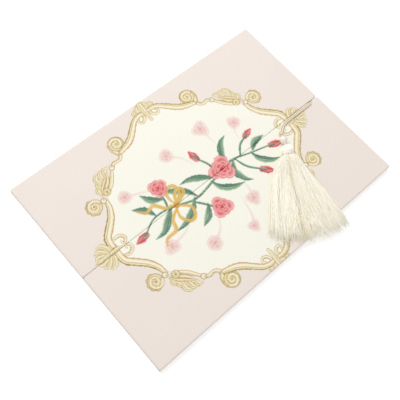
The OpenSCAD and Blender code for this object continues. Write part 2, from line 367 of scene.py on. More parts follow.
def make_materials():
    """Makes every material of the book once."""
    settings = cover()
    MATERIALS.update(
        printed=twill_cloth("transfer_printed_polyester_twill", True),
        cloth=twill_cloth("woven_polyester_twill", False),
        # Grey board pressed from waste paper: dull, speckled, with a furry cut edge
        board=fibrous("pressed_grey_board", settings.board, 0.95, 0.5 * MM, 0.12, 0.05 * MM),
        # Uncoated wood-free paper: dull white with a trace of fibre
        lining=fibrous("uncoated_lining_paper", settings.lining, 0.85, 0.4 * MM, 0.02,
                       0.01 * MM),
        paper=fibrous("uncoated_book_paper", settings.paper, 0.88, 0.4 * MM, 0.025, 0.01 * MM),
        # Uncoated card: like the paper, with a coarser tooth
        card=fibrous("uncoated_cream_card", settings.card, 0.8, 0.6 * MM, 0.03, 0.02 * MM),
        # Carded polyester wadding: white and fluffy
        wadding=fibrous("carded_polyester_wadding", linear("#f8f8f6"), 1.0, 0.3 * MM, 0.05,
                        0.1 * MM),
        # Dried binding glue: yellowish, smooth and slightly wet looking
        glue=fibrous("dried_binding_glue", linear("#e5d9b4"), 0.35, 1.0 * MM, 0.05, 0.02 * MM),
        yarn=rayon_yarn("twisted_rayon_cord", tassel().yarn, 0.5 * MM, 0.06),
        thread=rayon_yarn("spun_polyester_thread", linear("#fdfaf3"), 0.3 * MM, 0.04),
        floss=rayon_floss(),
        pearl=pearl_coating(),
    )


def dress(piece, material):
    """Gives a piece its one material."""
    piece.data.materials.clear()
    piece.data.materials.append(MATERIALS[material])


# ---------------------------------------------------------------------------
# Mesh helpers


def deselect():
    """Nothing is selected, so that the next operator acts on its own object alone."""
    bpy.ops.object.select_all(action="DESELECT")


def active(piece):
    """Makes piece the only selected and the active object."""
    deselect()
    piece.select_set(True)
    bpy.context.view_layer.objects.active = piece


def mesh_piece(name, points, faces, smooth=True):
    """An object from points in metres and faces."""
    mesh = bpy.data.meshes.new(name)
    mesh.from_pydata(np.asarray(points).tolist(), [], faces)
    mesh.update()
    piece = bpy.data.objects.new(name, mesh)
    bpy.context.scene.collection.objects.link(piece)
    if smooth:
        mesh.shade_smooth()
    return piece


def apply_modifier(piece, kind, **options):
    """Adds a modifier to a piece and applies it."""
    active(piece)
    modifier = piece.modifiers.new(kind.title(), kind)
    for option, value in options.items():
        setattr(modifier, option, value)
    bpy.ops.object.modifier_apply(modifier=modifier.name)


def smooth_route(points, step):
    """A curve through a few points, sampled about every step along it."""
    p = np.asarray(points, float)
    ends = [2 * p[0] - p[1], 2 * p[-1] - p[-2]]
    q = np.vstack([ends[0], p, ends[1]])
    out = []
    for i in range(1, len(q) - 2):
        a, b, c, d = q[i - 1 : i + 3]
        count = max(2, int(np.linalg.norm(c - b) / step))
        t = np.linspace(0, 1, count, endpoint=False)[:, None]
        out.append(
            0.5 * (2 * b + (c - a) * t + (2 * a - 5 * b + 4 * c - d) * t**2
                   + (3 * b - a - 3 * c + d) * t**3)
        )
    return np.vstack([*out, p[-1]])


def tangents(path):
    """Unit direction of a path at each of its points."""
    along = np.gradient(path, axis=0)
    return along / np.linalg.norm(along, axis=1)[:, None]


def carried_frames(path):
    """Two directions square to a path, carried along it without twist."""
    t = tangents(path)
    u = np.zeros_like(path)
    start = np.cross(t[0], [0.3, 0.2, 1.0])
    u[0] = start / np.linalg.norm(start)
    for i in range(1, len(path)):
        v = u[i - 1] - (u[i - 1] @ t[i]) * t[i]
        u[i] = v / np.linalg.norm(v)
    return u, np.cross(t, u)


def tube(path, radius, sides, closed_ends=True, flat=1.0):
    """Points and faces of a tube; radius is one number or one for each point, and flat is its
    thickness over its width."""
    u, v = carried_frames(path)
    radius = np.broadcast_to(radius, len(path))[:, None, None]
    angle = np.linspace(0, 2 * np.pi, sides, endpoint=False)
    ring = np.cos(angle)[None, :, None] * u[:, None]
    ring = ring + flat * np.sin(angle)[None, :, None] * v[:, None]
    points = (path[:, None] + radius * ring).reshape(-1, 3)
    faces = [
        (i * sides + k, i * sides + (k + 1) % sides,
         (i + 1) * sides + (k + 1) % sides, (i + 1) * sides + k)
        for i in range(len(path) - 1) for k in range(sides)
    ]
    if closed_ends:
        last = (len(path) - 1) * sides
        faces.append(tuple(range(sides - 1, -1, -1)))
        faces.append(tuple(last + k for k in range(sides)))
    return points, faces


def joined(parts):
    """Points and faces of several shapes as one."""
    points, faces, base = [], [], 0
    for p, f in parts:
        points.append(p)
        faces.extend(tuple(base + i for i in face) for face in f)
        base += len(p)
    return np.vstack(points), faces


def twisted(path, diameter, lay, plies=3, sides=8):
    """Points and faces of a cord of several plies twisted round a path."""
    u, v = carried_frames(path)
    run = np.r_[0, np.cumsum(np.linalg.norm(np.diff(path, axis=0), axis=1))]
    ply = diameter * 0.27
    parts = []
    for k in range(plies):
        turn = 2 * np.pi * (run / lay + k / plies)
        offset = np.cos(turn)[:, None] * u + np.sin(turn)[:, None] * v
        parts.append(tube(path + (diameter / 2 - ply) * offset, ply, sides))
    return joined(parts)


# ---------------------------------------------------------------------------
# Where things are, from the frame


def low_high(node):
    """Lowest and highest corner of a CAD node."""
    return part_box(node)


COVER_TOP = low_high("right_door_cloth")[1].z
HEAD = low_high("right_door_cloth")[1].y
MEETING = (low_high("right_door_cloth")[0].x + low_high("left_door_cloth")[1].x) / 2


def on_doors(points_mm):
    """Route points, given from the meeting line, the head and the top of the doors."""
    return np.asarray(points_mm) * MM + np.array([MEETING, HEAD, COVER_TOP])


INNER_ROUTE = [
    (1.05, -9, 0.45), (1.05, -9.8, 0.75), (1.05, -10.6, 0.85), (1.0, -13, 0.85),
    (1.0, -15.5, 0.85), (1.0, -18, 0.85), (1.0, -20.5, 0.85), (1.0, -23, 0.85),
    (1.0, -25.5, 0.85), (1.0, -28, 0.85), (1.0, -30.5, 0.85), (1.0, -33, 0.85),
    (1.1, -35, 0.85), (1.5, -37, 0.85), (2.3, -39, 0.9), (3.4, -41, 1.1), (4.7, -42.7, 1.4),
]
OUTER_ROUTE = [
    (2.15, -9, 0.45), (2.15, -9.8, 0.75), (2.15, -10.6, 0.85), (2.1, -13, 0.85),
    (2.1, -15.5, 0.85), (2.1, -18, 0.85), (2.1, -20.5, 0.85), (2.1, -23, 0.85),
    (2.1, -25.5, 0.85), (2.1, -28, 0.85), (2.1, -30.5, 0.85), (2.1, -32.2, 0.85),
    (2.15, -34, 0.85), (2.45, -36, 0.85), (3.15, -38, 0.9), (4.3, -40.1, 1.1),
    (5.8, -42.1, 1.4),
]

TAIL_ROUTES = [
    [(x, -8.6, 0.1), (x, -7.7, -0.3), (x, -6.9, -0.75), (x, -6.1, -1.05), (x, -5, -1.15),
     (x, -4, -1.15)] for x in (1.05, 2.15)
]
TIE_ROUTE = [
    (0.3, -25, 0.55), (0.35, -25, 1.1), (0.75, -25, 1.55), (1.3, -25, 1.68), (2.0, -25, 1.64),
    (2.5, -25, 1.5), (2.85, -25, 1.05), (3.1, -25, 0.62), (3.6, -25, 0.47), (5, -25, 0.47),
    (9, -25.2, 0.47), (13.5, -25.6, 0.47),
]
LEFT_THREAD_ROUTE = [(-6, -25.4, 0.25), (-4, -25.2, 0.25), (-2, -25, 0.25), (-0.4, -25, 0.25)]

# The bead and the head lie on this line, which runs out from the knot
KNOT = Vector([joint for joint in frame["joints"] if joint["name"] == "tassel_swing"][0]["pos_m"])
TASSEL_HEADING = math.radians(-28)
TASSEL_PITCH = math.radians(8)
PEARL_RUN = 5.5 * MM
HEAD_RUN = 10.4 * MM
HEAD_LENGTH = 8 * MM
HEAD_RADIUS = 3.6 * MM
NECK_RADIUS = 3.0 * MM
NECK_LENGTH = 2.9 * MM
SKIRT_HEADING = math.radians(-29)


def tassel_matrix(run):
    """Places what is modelled round +Z on the tassel's line, run metres from the knot."""
    turn = Matrix.Rotation(TASSEL_HEADING, 4, "Z") @ Matrix.Rotation(
        math.pi / 2 - TASSEL_PITCH, 4, "Y"
    )
    return Matrix.Translation(KNOT) @ turn @ Matrix.Translation((0, 0, run))


# ---------------------------------------------------------------------------
# The print: strokes of dye laid on the cloth's points


def shade(low, high, value):
    """0 below low, 1 above high, and a soft step between."""
    t = np.clip((value - low) / (high - low), 0, 1)
    return t * t * (3 - 2 * t)


def polyline(points, count=14):
    """A smooth path through given points, for a stroke."""
    p = np.asarray(points, float)
    if len(p) < 3:
        return p
    spans = np.linalg.norm(np.diff(p, axis=0), axis=1).mean()
    return smooth_route(p, spans / count * 2)


def spiral(x, y, radius, start, turn, inner=0.2):
    """A scroll's path, from its rim in to its eye; angles are in degrees."""
    t = np.linspace(0, 1, 40)
    r = radius * (1 - (1 - inner) * t**0.9)
    a = np.radians(start + turn * t)
    return np.stack([x + r * np.cos(a), y + r * np.sin(a)], 1)


def blotches(places, size, seed):
    """Smooth random values from 0 to 1 over the cloth, changing over about size."""
    random = np.random.default_rng(seed)
    total = np.zeros(len(places))
    for _ in range(7):
        way = random.normal(size=2)
        way /= np.linalg.norm(way)
        bend = random.normal(size=2)
        phase = random.uniform(0, 6.3, 2)
        swing = np.sin(places @ bend / size * 0.8 + phase[1])
        total += np.sin(places @ way / size * random.uniform(0.6, 1.6) * 2 + phase[0] + swing)
    return np.clip(0.5 + total / 7, 0, 1)


class Dye:
    """Colours of a cloth's points, in display values, painted over one stroke at a time.
    Places are millimetres from the print's centre."""

    def __init__(self, places, ground):
        self.places = places
        self.colours = np.tile(np.asarray(ground, float), (len(places), 1))
        self.blur = 0.2
        # The ink takes unevenly, in fine mottles and in broad ones
        self.fine = blotches(places, 0.8, 3)
        self.broad = blotches(places, 4.0, 5)

    def near(self, path, reach):
        """The points of the cloth within reach of a path's box."""
        low, high = path.min(0) - reach, path.max(0) + reach
        return np.flatnonzero(((self.places >= low) & (self.places <= high)).all(1))

    def measure(self, index, path):
        """Distance to a path, the side of it, and how far along it, for some points."""
        a, d = path[:-1], np.diff(path, axis=0)
        square = np.maximum((d * d).sum(1), 1e-12)
        rel = self.places[index][:, None] - a[None]
        t = np.clip((rel * d).sum(2) / square, 0, 1)
        off = rel - t[..., None] * d
        gap = (off * off).sum(2)
        k = gap.argmin(1)
        rows = np.arange(len(index))
        side = np.sign(d[k, 0] * rel[rows, k, 1] - d[k, 1] * rel[rows, k, 0])
        lengths = np.sqrt(square)
        run = np.r_[0, np.cumsum(lengths)]
        along = (run[k] + t[rows, k] * lengths[k]) / run[-1]
        return np.sqrt(gap[rows, k]), side, along

    def lay(self, index, colour, cover_share):
        """Lays a colour, or a colour for each point, over some points."""
        share = np.asarray(cover_share)[:, None]
        self.colours[index] = self.colours[index] * (1 - share) + np.asarray(colour) * share

    def stroke(self, path, widths, ramp, flip=1, strength=1.0, blur=None, fade=0.0):
        """A band along a path. widths are half widths, spread evenly along it; ramp gives the
        colour from its left edge, -1, to its right edge, 1. fade thins it towards its end."""
        path = polyline(path)
        blur = self.blur if blur is None else blur
        index = self.near(path, max(widths) + 1 + blur)
        if not len(index):
            return
        gap, side, along = self.measure(index, path)
        half = np.interp(along, np.linspace(0, 1, len(widths)), widths)
        half = half * (0.9 + 0.2 * self.fine[index])
        across = np.clip(side * flip * gap / np.maximum(half, 0.05), -1, 1)
        inside = 1 - shade(half - blur, half + blur, gap)
        self.lay(index, ramp(across), inside * strength * (1 - fade * along))

    def disc(self, x, y, radius, colour, strength=1.0, blur=0.4):
        """A round spot of one colour."""
        index = self.near(np.array([(x, y)]), radius + blur)
        gap = np.hypot(*(self.places[index] - (x, y)).T)
        self.lay(index, colour, (1 - shade(radius - blur, radius + blur, gap)) * strength)

    def fill(self, outline, colour, strength=1.0):
        """Fills a closed outline."""
        index = self.near(outline, 0.5)
        if not len(index):
            return
        p, q = outline, np.roll(outline, -1, axis=0)
        x, y = self.places[index].T[:, :, None]
        crosses = ((p[:, 1] > y) != (q[:, 1] > y)) & (
            x < (q[:, 0] - p[:, 0]) * (y - p[:, 1]) / (q[:, 1] - p[:, 1] + 1e-12) + p[:, 0]
        )
        inside = crosses.sum(1) % 2 == 1
        self.lay(index, colour, inside * strength)


def display(colour):
    """A linear colour as display values, in which the print is mixed."""
    c = np.asarray(colour[:3])
    return np.where(c <= 0.0031308, c * 12.92, 1.055 * c ** (1 / 2.4) - 0.055)


def ramp_of(*stops):
    """A function that gives a colour for a place across a stroke, from (place, colour) stops."""
    places = [s[0] for s in stops]
    colours = np.array([s[1] for s in stops])
    return lambda x: np.stack([np.interp(x, places, colours[:, c]) for c in range(3)], -1)


# One quarter of the gilt frame, in millimetres from its centre; the rest is mirrored.
# Each band is a path with its half widths.
FRAME_ARM = ([(0, 76.2), (5.4, 76.2), (9.6, 75), (14.3, 70.3), (19.2, 65.4), (25, 62),
              (30, 61)], [2.3, 2.5, 2.6, 2.6, 2.4, 2.1, 1.6])
FRAME_CURL = ([(5.8, 74), (6.8, 70.6), (5.7, 67.6), (3.4, 66.4), (1.4, 67.5), (1.2, 69.4),
               (2.8, 69.8)], [0.7, 1.1, 1.2, 1.2, 1.1, 0.9, 0.6])
FRAME_FIRST_SCROLL = (31.2, 69.3, 4.4)
FRAME_RIDGE = ([(33.6, 58), (35.6, 54), (38.8, 50.2), (43, 46.8), (46, 44.6)],
               [0.8, 1.3, 1.5, 1.4, 0.9])
FRAME_LEAF = ([(34.6, 60.4), (38.4, 56.2), (41.4, 52.6), (45.4, 49.2)], [1.0, 2.3, 2.3, 0.6])
FRAME_LOBES = [
    [(36, 60.6), (39, 60.8), (41, 59.2)],
    [(39, 58.6), (42.6, 58.6), (44.2, 56.6)],
    [(41.4, 56.4), (46, 57.4), (48.4, 55.2), (46.6, 53.6)],
    [(43.6, 53.4), (47.6, 53), (49.6, 50.4)],
    [(45.4, 49.8), (48.4, 49), (49.4, 46.4)],
]
FRAME_HOOK = (35.2, 56.6, 1.9)
FRAME_NECK = ([(47, 43.6), (48.9, 40.6), (48.4, 37.6), (49.4, 34.9), (52.6, 33)],
              [1.3, 1.2, 1.2, 1.3, 1.6])
FRAME_SECOND_SCROLL = (59.4, 30.9, 4.6)
FRAME_SCROLL_NECK = ([(52.4, 30), (52.8, 33.6), (56.2, 35.6), (60.5, 35.9)],
                     [1.2, 1.5, 1.6, 1.4])
FRAME_SIDE_ARM = ([(52.6, 32), (53.6, 28.6), (55.2, 23.8), (58, 19.4), (62.4, 14.5), (66.2, 10),
                   (67.6, 5.6), (67.4, 2)], [1.6, 2.2, 2.5, 2.4, 2.2, 2.0, 1.8, 1.4])
FRAME_SIDE_CURL = ([(67.4, 3.6), (64.6, 3), (62.2, 4.6), (61.8, 7.2), (63.8, 8.4), (65, 7)],
                   [0.9, 1.1, 1.2, 1.1, 0.9, 0.6])
FRAME_SIDE_LOBES = [
    [(68, 6.4), (70.6, 7.4), (72.6, 5.6)],
    [(68.4, 3.6), (71.6, 4.4), (74.4, 2.6)],
]
FRAME_CROWN = [
    [(0.6, 79), (4.4, 79.8), (7.6, 82), (8.4, 84.6)],
    [(0.6, 80.6), (3.6, 83), (5.8, 85.8), (5.4, 87.8)],
    [(0.4, 82), (1.8, 85.4), (2.4, 88), (1.0, 89.6)],
]
FIELD_QUARTER = [
    (0, 74.4), (5, 74.4), (8, 73.4), (12.5, 69), (17.5, 63.8), (23.5, 60.2), (29.5, 59.2),
    (33.6, 56.6), (36, 51.6), (39, 48.6), (43, 45.4), (46.2, 42.6), (47.6, 38.6), (48, 35.4),
    (51, 32.4), (52, 27), (54, 22), (57.4, 17), (62, 11.6), (65, 8.2), (66.5, 0),
]


def mirrored(path, across, up):
    """A quarter's path, turned over to one of the four quarters."""
    return np.asarray(path, float) * (across, up)


def paint_field(dye, colour):
    """The cream field inside the frame."""
    quarter = np.array(FIELD_QUARTER)
    half = np.vstack([quarter, (quarter * (1, -1))[::-1]])
    outline = np.vstack([half, (half * (-1, 1))[::-1]])
    dye.fill(outline, colour)


def paint_frame(dye, inks):
    """The gilt scroll frame: each band has dark outlines, a lit ridge and a groove."""
    soft = inks["dark"] * 0.75 + inks["gilt"] * 0.25
    band = ramp_of(
        (-1.0, inks["warm"]), (-0.8, inks["warm"]), (-0.66, inks["gilt"]),
        (-0.4, inks["light"]), (0.0, inks["light"]), (0.16, inks["gilt"]), (0.3, soft),
        (0.42, inks["light"]), (0.62, inks["gilt"]), (0.78, inks["dark"]), (1.0, inks["dark"]),
    )
    lobe = ramp_of(
        (-1.0, inks["dark"]), (-0.72, inks["gilt"]), (-0.3, inks["light"]), (0.0, inks["gilt"]),
        (0.2, soft), (0.4, inks["light"]), (0.7, inks["gilt"]), (1.0, inks["dark"]),
    )
    for across in (-1, 1):
        for up in (-1, 1):
            paint_quarter(dye, inks, band, lobe, across, up)
    for up in (-1, 1):
        dye.stroke(mirrored([(0, 80), (0, 84), (0, 88), (0, 91)], 1, up), [1.2, 1.5, 1.3, 0.4],
                   lobe)
        dye.stroke(mirrored([(0, 71), (0, 75), (0, 79)], 1, up), [0.5, 1.6, 1.6], lobe)
    for across in (-1, 1):
        dye.stroke([(60 * across, 0), (74 * across, 0)], [1.2, 2.3], lobe)


def paint_quarter(dye, inks, band, lobe, across, up):
    """One quarter of the frame."""
    flip = across * up

    def quarter(path):
        return mirrored(path, across, up)

    def scroll(x, y, radius, start, turn, width):
        dye.disc(x * across, y * up, radius + 0.9, inks["dark"], 0.9, 0.3)
        dye.disc(x * across, y * up, radius + 0.5, inks["gilt"], 1.0, 0.3)
        dye.stroke(quarter(spiral(x, y, radius, start, turn)),
                   [width, width * 0.95, width * 0.8, width * 0.5], band, flip)
        dye.disc(x * across, y * up, 0.55, inks["dark"], 0.8, 0.3)

    for path in FRAME_SIDE_LOBES:
        dye.stroke(quarter(path), [0.8, 1.6, 0.7], lobe, flip)
    for path in FRAME_LOBES:
        dye.stroke(quarter(path), [1.1, 1.9, 1.6, 0.5], lobe, flip)
    # Scallops round the outer side of the first scroll
    x, y, radius = FRAME_FIRST_SCROLL
    for angle in (20, 58, 96, 134, 172):
        a = math.radians(angle)
        dye.disc((x + radius * math.cos(a)) * across, (y + radius * math.sin(a)) * up, 1.8,
                 inks["dark"], 0.85, 0.25)
        dye.disc((x + radius * math.cos(a)) * across, (y + radius * math.sin(a)) * up, 1.35,
                 inks["light"], 1.0, 0.35)
    scroll(x, y, radius, -75, 560, 1.35)
    dye.stroke(quarter(FRAME_NECK[0]), FRAME_NECK[1], band, flip)
    dye.stroke(quarter(FRAME_SCROLL_NECK[0]), FRAME_SCROLL_NECK[1], band, flip)
    scroll(*FRAME_SECOND_SCROLL, 60, -540, 1.4)
    dye.stroke(quarter(FRAME_SIDE_CURL[0]), FRAME_SIDE_CURL[1], band, -flip)
    dye.stroke(quarter(FRAME_SIDE_ARM[0]), FRAME_SIDE_ARM[1], band, flip)
    dye.stroke(quarter(FRAME_RIDGE[0]), FRAME_RIDGE[1], band, flip)
    dye.stroke(quarter(FRAME_LEAF[0]), FRAME_LEAF[1], lobe, flip)
    dye.stroke(quarter(FRAME_LEAF[0]), [0.3, 0.6, 0.5, 0.1], lambda t: inks["warm"] + 0 * t[:, None],
               flip, 0.8)
    scroll(*FRAME_HOOK, 200, 400, 0.7)
    dye.stroke(quarter(FRAME_CURL[0]), FRAME_CURL[1], band, -flip)
    dye.stroke(quarter(FRAME_ARM[0]), FRAME_ARM[1], band, flip)
    for x, y in ((47, 43.8), (31.4, 62)):
        dye.disc(x * across, y * up, 2.0, inks["dark"], 0.9, 0.3)
        dye.disc(x * across, y * up, 1.55, inks["light"], 1.0, 0.4)
        dye.disc((x + 0.5) * across, (y - 0.4) * up, 0.5, inks["dark"], 0.6, 0.3)
    for path in FRAME_CROWN:
        dye.stroke(quarter(path), [0.9, 1.7, 1.8, 0.8], lobe, flip)


# The generic spray in the field, in millimetres from the print's centre
SPRAY_STEMS = [
    [(4, -56), (-2, -44), (-1, -30), (4, -14), (1, 4), (-3, 22), (1, 38), (5, 54)],
    [(3, -18), (10, -12), (17, -7)],
    [(-1, -33), (-8, -31), (-15, -31)],
    [(0, 8), (-9, 9), (-18, 5)],
    [(-2, 26), (7, 29), (15, 36)],
    [(-1, 30), (-8, 36), (-11, 44)],
]
SPRAY_LEAVES = [
    [(3, -14), (9, -21), (13, -30), (14, -38)], [(3, -12), (-4, -16), (-10, -24), (-13, -30)],
    [(1, 2), (8, 5), (13, 12), (15, 20)], [(0, 6), (-5, -1), (-9, -9), (-10, -16)],
    [(-3, 20), (-10, 21), (-17, 26), (-20, 32)], [(-2, 24), (5, 20), (13, 22), (17, 26)],
    [(1, 38), (8, 40), (14, 46), (16, 52)], [(0, 40), (-4, 46), (-4, 54)],
    [(-2, -30), (3, -36), (9, -44), (10, -52)], [(-3, -42), (-9, -45), (-15, -52)],
    [(12, -10), (18, -15), (22, -22)], [(-9, -31), (-13, -38), (-20, -42)],
]
SPRAY_ROSES = [(-2, 14, 8.4, 0.4), (19, -4, 6.8, 2.1), (-17, -29, 6.0, 3.9)]
SPRAY_BUDS = [((5, 53), (8, 62), 2.8), ((15, 36), (21, 42), 2.9), ((-18, 5), (-25, 4), 2.9),
              ((4, -55), (5, -63), 2.7), ((-11, 43), (-13, 50), 2.5)]
SPRAY_BLUSH = [(-34, 22, 5.6, 0.3), (35, -24, 5.2, 1.9), (-32, -10, 4.8, 2.6),
               (27, 17, 4.8, 0.9), (-24, 44, 4.6, 1.4), (20, -47, 5.0, 3.0),
               (-25, -50, 4.4, 5.1), (42, 4, 3.9, 4.2)]
SPRAY_RIBBON = [
    [(0, -27), (-6, -20), (-12, -20), (-13, -25), (-8, -28), (-1, -27)],
    [(0, -27), (6, -20), (12, -21), (14, -26), (8, -30), (1, -28)],
    [(0, -27), (-7, -23), (-9, -19), (-5, -17), (0, -26)],
    [(-1, -27), (-3, -34), (-9, -39), (-8, -46), (-12, -50)],
    [(1, -27), (6, -35), (13, -38), (14, -46), (18, -49)],
]


def rose(dye, x, y, radius, start, dark, light, strength=1.0):
    """An open bloom in wet strokes: each petal is deep at its base and pale at its lip, and
    fine streaks run from the heart."""
    petal = ramp_of((-1.0, dark), (-0.55, dark * 0.85 + light * 0.15),
                    (0.0, dark * 0.4 + light * 0.6), (0.5, light * 0.85 + 0.15),
                    (0.82, light * 0.7 + 0.3), (1.0, dark * 0.7 + light * 0.3))
    flat = ramp_of((-1.0, dark), (1.0, dark))
    rings = ((1.0, 6), (0.74, 5), (0.5, 4), (0.27, 3))
    for ring, (out, count) in enumerate(rings):
        for k in range(count):
            a = start + 2 * math.pi * (k + 0.4 * ring) / count
            reach = radius * out * (0.9 + 0.14 * math.sin(3.1 * k + start * 5 + ring))
            span = 1.25 * math.pi / count
            arc = [(x + reach * r * math.cos(a + s * span), y + reach * r * math.sin(a + s * span))
                   for s, r in ((0.9, 0.5), (0.55, 0.74), (0.15, 0.8), (-0.3, 0.76), (-0.85, 0.5))]
            width = reach * 0.3 + 0.25
            dye.stroke(arc, [width * 0.4, width, width * 1.1, width, width * 0.3], petal, 1,
                       strength * 0.92, blur=0.35)
            tip = [(x + reach * q * math.cos(a + w), y + reach * q * math.sin(a + w))
                   for q, w in ((0.3, 0.1), (0.6, 0.0), (0.9, 0.06))]
            dye.stroke(tip, [0.4, 0.35, 0.1], flat, 1, strength * 0.6, blur=0.3, fade=0.5)
    dye.disc(x, y, radius * 0.13, dark, strength * 0.8, 0.4)


def paint_spray(dye, inks):
    """Roses, buds, leaves and a ribbon down the meeting line, with faded blossoms behind."""
    leaf = ramp_of((-1.0, inks["leaf"]), (-0.4, inks["leaf_mid"]), (-0.1, inks["leaf"]),
                   (0.05, inks["leaf_light"]), (0.25, inks["leaf_mid"]),
                   (1.0, inks["leaf_light"]))
    shadow = ramp_of((-1.0, inks["leaf"] * 0.8), (1.0, inks["leaf"]))
    faint = ramp_of((-1.0, inks["blush"]), (0.0, inks["blush_light"]), (1.0, inks["blush"]))
    for x, y, r, start in SPRAY_BLUSH:
        dye.stroke([(x, y), (x * 0.8 + 1, y * 0.8 + 5), (x * 0.5, y * 0.7 + 8)],
                   [0.7, 0.6, 0.3], faint, 1, 0.6, blur=0.5, fade=0.7)
        rose(dye, x, y, r, start, inks["blush"], inks["blush_light"], 0.8)
    for path in SPRAY_STEMS:
        dye.stroke(path, [0.5, 0.8, 0.8, 0.5], leaf, blur=0.3)
    for k, path in enumerate(SPRAY_LEAVES):
        flip = 1 if k % 2 else -1
        dye.stroke(path, [0.4, 1.9, 2.6, 1.7, 0.2], leaf, flip, 0.95, blur=0.4)
        bent = [(px + 0.9 * flip, py + 0.3) for px, py in path[:-1]]
        dye.stroke(bent, [0.2, 0.8, 0.3], shadow, 1, 0.45, blur=0.5, fade=0.6)
    gold = ramp_of((-1.0, inks["ribbon"]), (-0.3, inks["ribbon_light"]), (0.2, inks["ribbon"]),
                   (0.6, inks["ribbon_light"]), (1.0, inks["ribbon"]))
    for path in SPRAY_RIBBON:
        dye.stroke(path, [0.7, 1.1, 1.3, 1.1, 0.5], gold, 1, 0.9, blur=0.3)
    dye.disc(0, -27, 2.0, inks["ribbon"], 0.9, 0.5)
    for start, end, r in SPRAY_BUDS:
        dye.stroke([start, end], [r * 0.8, r, r * 0.25],
                   ramp_of((-1.0, inks["rose"]), (-0.2, inks["rose_light"]),
                           (0.3, inks["rose"]), (1.0, inks["rose_light"])), 1, 0.92, blur=0.4)
        middle = (start[0] * 0.45 + end[0] * 0.55, start[1] * 0.45 + end[1] * 0.55)
        dye.stroke([start, middle], [r * 0.5, 0.2], leaf, 1, 0.85, blur=0.3)
    for x, y, r, start in SPRAY_ROSES:
        rose(dye, x, y, r, start, inks["rose"], inks["rose_light"])


# The print sits a little off the middle of the cover, and a little turned on it
PRINT_CENTRE = (1.05, -2.8)
PRINT_TURN = math.radians(-1.5)


def print_colours(places):
    """The printed colour, linear, at each place on the doors, measured from the meeting line
    and the middle."""
    ink = bpy.context.scene.book_print

    def mix(a, b, t):
        return display(a) * (1 - t) + display(b) * t

    c, s = math.cos(PRINT_TURN), math.sin(PRINT_TURN)
    turned = (places - PRINT_CENTRE) @ np.array([(c, -s), (s, c)])
    dye = Dye(turned, display(cover().cloth))
    paint_field(dye, display(ink.field))
    ground = dye.colours.copy()
    paint_spray(dye, {
        "leaf": display(ink.leaf), "leaf_light": display(ink.leaf_light),
        "leaf_mid": mix(ink.leaf, ink.leaf_light, 0.5),
        "blush": display(ink.blush), "blush_light": mix(ink.blush, ink.field, 0.65),
        "ribbon": display(ink.ribbon), "ribbon_light": display(ink.ribbon_light),
        "rose": display(ink.rose), "rose_light": display(ink.rose_light),
    })
    paint_frame(dye, {
        "dark": display(ink.gilt_dark), "warm": display(ink.gilt_warm),
        "gilt": display(ink.gilt), "light": display(ink.gilt_light),
    })
    # Where the ink took thinly, the ground shows through it
    thin = (0.22 * dye.fine * shade(0.3, 1.0, dye.broad) + 0.03)[:, None]
    colours = np.clip(dye.colours * (1 - thin) + ground * thin, 0, 1)
    return np.where(colours <= 0.04045, colours / 12.92, ((colours + 0.055) / 1.055) ** 2.4)


# ---------------------------------------------------------------------------
# Cover cloth


def edge_arc(radius, steps=4):
    """(inset, drop) down a rounded edge, from its outline up to the flat."""
    turn = np.linspace(0, math.pi / 2, steps + 1)
    return np.stack([radius * (1 - np.cos(turn)), radius * (1 - np.sin(turn))], 1)


def even(start, end, step):
    """Places from start to end, about step apart."""
    return np.linspace(start, end, max(2, int(round((end - start) / step)) + 1))


def grid_faces(rows, columns):
    """Quads of a grid of rows by columns of points."""
    corner = np.arange(rows * columns).reshape(rows, columns)
    quads = np.stack([corner[:-1, :-1], corner[1:, :-1], corner[1:, 1:], corner[:-1, 1:]], -1)
    return quads.reshape(-1, 4).tolist()


def round_corner(x, y, centre_x, centre_y, radius):
    """Pulls the points of a square corner onto a round one of the same radius."""
    dx, dy = x - centre_x, y - centre_y
    flat = np.hypot(dx, dy)
    pull = np.maximum(np.abs(dx), np.abs(dy)) / np.maximum(flat, 1e-9)
    return centre_x + dx * pull, centre_y + dy * pull


def door_cloth(side):
    """One door's printed cloth: flat over the wadding, round at its edges, turned in under the
    board on three sides, and running down over the fold onto half of the spine."""
    settings = cover()
    name = SIDE_NAMES[side]
    low, high = low_high(f"{name}_door_cloth")
    outer = abs(low_high(f"{name}_spine_cloth")[0 if side == LEFT else 1].x)
    # The two cloths swell towards each other and leave a hair's breadth between them
    inner = (low.x if side == RIGHT else -high.x) - 0.17 * MM
    r, fold = settings.edge_radius, settings.fold_radius
    arc = edge_arc(r)
    hinge = edge_arc(fold)
    across = np.r_[inner + arc[:, 0], even(inner + r, outer - fold, settings.cell)[1:-1],
                   (outer - hinge[::-1, 0])]
    up = np.r_[low.y + arc[:, 0], even(low.y + r, high.y - r, settings.cell)[1:-1],
               (high.y - arc[::-1, 0])]
    x, y = np.meshgrid(across, up, indexing="ij")
    rc = settings.corner_radius
    for end in (-1, 1):
        edge = low.y if end < 0 else high.y
        centre_y = edge - end * rc
        corner = (x < inner + rc) & ((y - centre_y) * end > 0)
        x[corner], y[corner] = round_corner(x[corner], y[corner], inner + rc, centre_y, rc)
    # Distance in from the outline sets the drop of the rounded edge
    in_x, in_y = x - inner, np.minimum(y - low.y, high.y - y)
    both = (in_x < rc) & (in_y < rc)
    inset = np.minimum(in_x, in_y)
    inset[both] = rc - np.hypot(rc - in_x[both], rc - in_y[both])
    inset = np.clip(inset, 0, r)
    drop = r - np.sqrt(np.maximum(r * r - (r - inset) ** 2, 0))
    past = np.clip(x - (outer - fold), 0, fold)
    fall = fold - np.sqrt(np.maximum(fold * fold - past**2, 0))
    z = high.z - drop - fall
    points = np.stack([x * side, y, z], -1).reshape(-1, 3)
    piece = mesh_piece(f"{name}_door_printed_cloth", points, grid_faces(*x.shape))
    wrap_edges(piece, side, inner, outer, low, high)
    return piece


